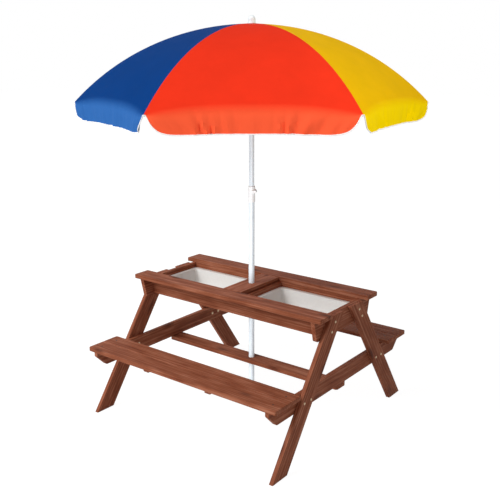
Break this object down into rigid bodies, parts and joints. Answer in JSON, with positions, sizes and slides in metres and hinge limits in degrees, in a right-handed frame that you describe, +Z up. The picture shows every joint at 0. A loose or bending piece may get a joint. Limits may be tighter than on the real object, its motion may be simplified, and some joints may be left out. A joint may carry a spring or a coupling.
{
  "type": "kids picnic table with parasol",
  "caption": "Children's wooden picnic table with fixed seats, two lift-out play bins in its top and a blue, red and yellow parasol on a white pole.",
  "frame": {"origin": "on the ground, under the middle of the pole", "axes": "+X along the table's length, towards the water bin; +Y to the rear seat; +Z up"},
  "size_m": [1.1812, 1.2616, 1.4723],
  "materials": {
    "stained_wood": "satin red-brown stain",
    "bolts": "yellow zinc",
    "bins": "pale grey, matt",
    "white_plastic": "white, semi-gloss",
    "pole_paint": "white, gloss",
    "dark_button": "black, matt",
    "rib_steel": "white, semi-gloss",
    "blue_fabric": "woven polyester",
    "red_fabric": "woven polyester",
    "yellow_fabric": "woven polyester"
  },
  "bodies": {
    "table": {"front_top_plank": "stained_wood", "rear_top_plank": "stained_wood", "umbrella_plank": "stained_wood", "left_end_beam": "stained_wood", "right_end_beam": "stained_wood", "front_apron": "stained_wood", "rear_apron": "stained_wood", "left_centre_rail": "stained_wood", "right_centre_rail": "stained_wood", "bin_ledges": "stained_wood", "front_left_leg": "stained_wood", "rear_left_leg": "stained_wood", "front_right_leg": "stained_wood", "rear_right_leg": "stained_wood", "left_seat_beam": "stained_wood", "right_seat_beam": "stained_wood", "front_seat_outer_board": "stained_wood", "front_seat_inner_board": "stained_wood", "rear_seat_outer_board": "stained_wood", "rear_seat_inner_board": "stained_wood", "front_seat_cleats": "stained_wood", "rear_seat_cleats": "stained_wood", "lower_stretcher": "stained_wood", "leg_bolts": "bolts", "leg_nuts": "bolts", "seat_screws": "bolts", "seat_end_screws": "bolts", "stretcher_screws": "bolts"},
    "sand_bin": {"sand_bin": "bins"},
    "water_bin": {"water_bin": "bins"},
    "pole_foot": {"pole_foot": "white_plastic"},
    "lower_pole": {"lower_pole": "pole_paint", "pole_collar": "white_plastic"},
    "lock_button": {"lock_button": "dark_button"},
    "upper_pole": {"upper_pole": "pole_paint", "crown_hub": "white_plastic", "crown_pins": "rib_steel", "finial": "white_plastic", "canopy_panel_1": "yellow_fabric", "canopy_panel_2": "blue_fabric", "canopy_panel_3": "red_fabric", "canopy_panel_4": "yellow_fabric", "canopy_panel_5": "blue_fabric", "canopy_panel_6": "red_fabric"},
    "runner": {"runner": "white_plastic", "runner_pins": "rib_steel"},
    "runner_button": {"runner_button": "dark_button"},
    "rib_1": {"rib_1": "rib_steel"},
    "rib_2": {"rib_2": "rib_steel"},
    "rib_3": {"rib_3": "rib_steel"},
    "rib_4": {"rib_4": "rib_steel"},
    "rib_5": {"rib_5": "rib_steel"},
    "rib_6": {"rib_6": "rib_steel"},
    "strut_1": {"strut_1": "rib_steel"},
    "strut_2": {"strut_2": "rib_steel"},
    "strut_3": {"strut_3": "rib_steel"},
    "strut_4": {"strut_4": "rib_steel"},
    "strut_5": {"strut_5": "rib_steel"},
    "strut_6": {"strut_6": "rib_steel"}
  },
  "joints": [
    {"name": "sand_bin_lift", "type": "slide", "parent": "table", "child": "sand_bin", "axis": [0, 0, 1], "range_m": [0, 0.12]},
    {"name": "water_bin_lift", "type": "slide", "parent": "table", "child": "water_bin", "axis": [0, 0, 1], "range_m": [0, 0.12]},
    {"name": "umbrella_lift", "type": "slide", "parent": "table", "child": "pole_foot", "axis": [0, 0, 1], "range_m": [0, 0.51]},
    {"name": "umbrella_turn", "type": "hinge", "parent": "pole_foot", "child": "lower_pole", "pos_m": [0, 0, 0.0033], "axis": [0, 0, 1], "continuous": true},
    {"name": "upper_pole_lift_out", "type": "slide", "parent": "lower_pole", "child": "upper_pole", "axis": [0, 0, 1], "range_m": [0, 0.13]},
    {"name": "lock_button_press", "type": "slide", "parent": "lower_pole", "child": "lock_button", "axis": [-0.788, -0.6157, 0], "range_m": [0, 0.002], "stiffness_N_per_m": 800},
    {"name": "runner_slide", "type": "slide", "parent": "upper_pole", "child": "runner", "axis": [0, 0, 1], "range_m": [-0.25295, 0], "deforming": ["canopy_panel_1", "canopy_panel_2", "canopy_panel_3", "canopy_panel_4", "canopy_panel_5", "canopy_panel_6"]},
    {"name": "runner_button_press", "type": "slide", "parent": "runner", "child": "runner_button", "axis": [-0.788, -0.6157, 0], "range_m": [0, 0.002], "stiffness_N_per_m": 800},
    {"name": "rib_1_fold", "type": "hinge", "parent": "upper_pole", "child": "rib_1", "pos_m": [0.01344, -0.00543, 1.43918], "axis": [0.3746, 0.9272, 0], "range_deg": [0, 56.5]},
    {"name": "strut_1_fold", "type": "hinge", "parent": "runner", "child": "strut_1", "pos_m": [0.01195, -0.00914, 1.18918], "axis": [0.3746, 0.9272, 0], "range_deg": [-29.6, 0]},
    {"name": "rib_2_fold", "type": "hinge", "parent": "upper_pole", "child": "rib_2", "pos_m": [0.01143, 0.00893, 1.43918], "axis": [-0.6157, 0.788, 0], "range_deg": [0, 56.5]},
    {"name": "strut_2_fold", "type": "hinge", "parent": "runner", "child": "strut_2", "pos_m": [0.01389, 0.00577, 1.18918], "axis": [-0.6157, 0.788, 0], "range_deg": [-29.6, 0]},
    {"name": "rib_3_fold", "type": "hinge", "parent": "upper_pole", "child": "rib_3", "pos_m": [-0.00202, 0.01436, 1.43918], "axis": [-0.9903, -0.1392, 0], "range_deg": [0, 56.5]},
    {"name": "strut_3_fold", "type": "hinge", "parent": "runner", "child": "strut_3", "pos_m": [0.00194, 0.01492, 1.18918], "axis": [-0.9903, -0.1392, 0], "range_deg": [-29.6, 0]},
    {"name": "rib_4_fold", "type": "hinge", "parent": "upper_pole", "child": "rib_4", "pos_m": [-0.01344, 0.00543, 1.43918], "axis": [-0.3746, -0.9272, 0], "range_deg": [0, 56.5]},
    {"name": "strut_4_fold", "type": "hinge", "parent": "runner", "child": "strut_4", "pos_m": [-0.01195, 0.00914, 1.18918], "axis": [-0.3746, -0.9272, 0], "range_deg": [-29.6, 0]},
    {"name": "rib_5_fold", "type": "hinge", "parent": "upper_pole", "child": "rib_5", "pos_m": [-0.01143, -0.00893, 1.43918], "axis": [0.6157, -0.788, 0], "range_deg": [0, 56.5]},
    {"name": "strut_5_fold", "type": "hinge", "parent": "runner", "child": "strut_5", "pos_m": [-0.01389, -0.00577, 1.18918], "axis": [0.6157, -0.788, 0], "range_deg": [-29.6, 0]},
    {"name": "rib_6_fold", "type": "hinge", "parent": "upper_pole", "child": "rib_6", "pos_m": [0.00202, -0.01436, 1.43918], "axis": [0.9903, 0.1392, 0], "range_deg": [0, 56.5]},
    {"name": "strut_6_fold", "type": "hinge", "parent": "runner", "child": "strut_6", "pos_m": [-0.00194, -0.01492, 1.18918], "axis": [0.9903, 0.1392, 0], "range_deg": [-29.6, 0]}
  ],
  "couplings": [
    {"joint": "rib_1_fold", "follows": "runner_slide", "rad_per_m": -3.864},
    {"joint": "strut_1_fold", "follows": "runner_slide", "rad_per_m": 2.0079},
    {"joint": "rib_2_fold", "follows": "runner_slide", "rad_per_m": -3.864},
    {"joint": "strut_2_fold", "follows": "runner_slide", "rad_per_m": 2.0079},
    {"joint": "rib_3_fold", "follows": "runner_slide", "rad_per_m": -3.864},
    {"joint": "strut_3_fold", "follows": "runner_slide", "rad_per_m": 2.0079},
    {"joint": "rib_4_fold", "follows": "runner_slide", "rad_per_m": -3.864},
    {"joint": "strut_4_fold", "follows": "runner_slide", "rad_per_m": 2.0079},
    {"joint": "rib_5_fold", "follows": "runner_slide", "rad_per_m": -3.864},
    {"joint": "strut_5_fold", "follows": "runner_slide", "rad_per_m": 2.0079},
    {"joint": "rib_6_fold", "follows": "runner_slide", "rad_per_m": -3.864},
    {"joint": "strut_6_fold", "follows": "runner_slide", "rad_per_m": 2.0079}
  ]
}
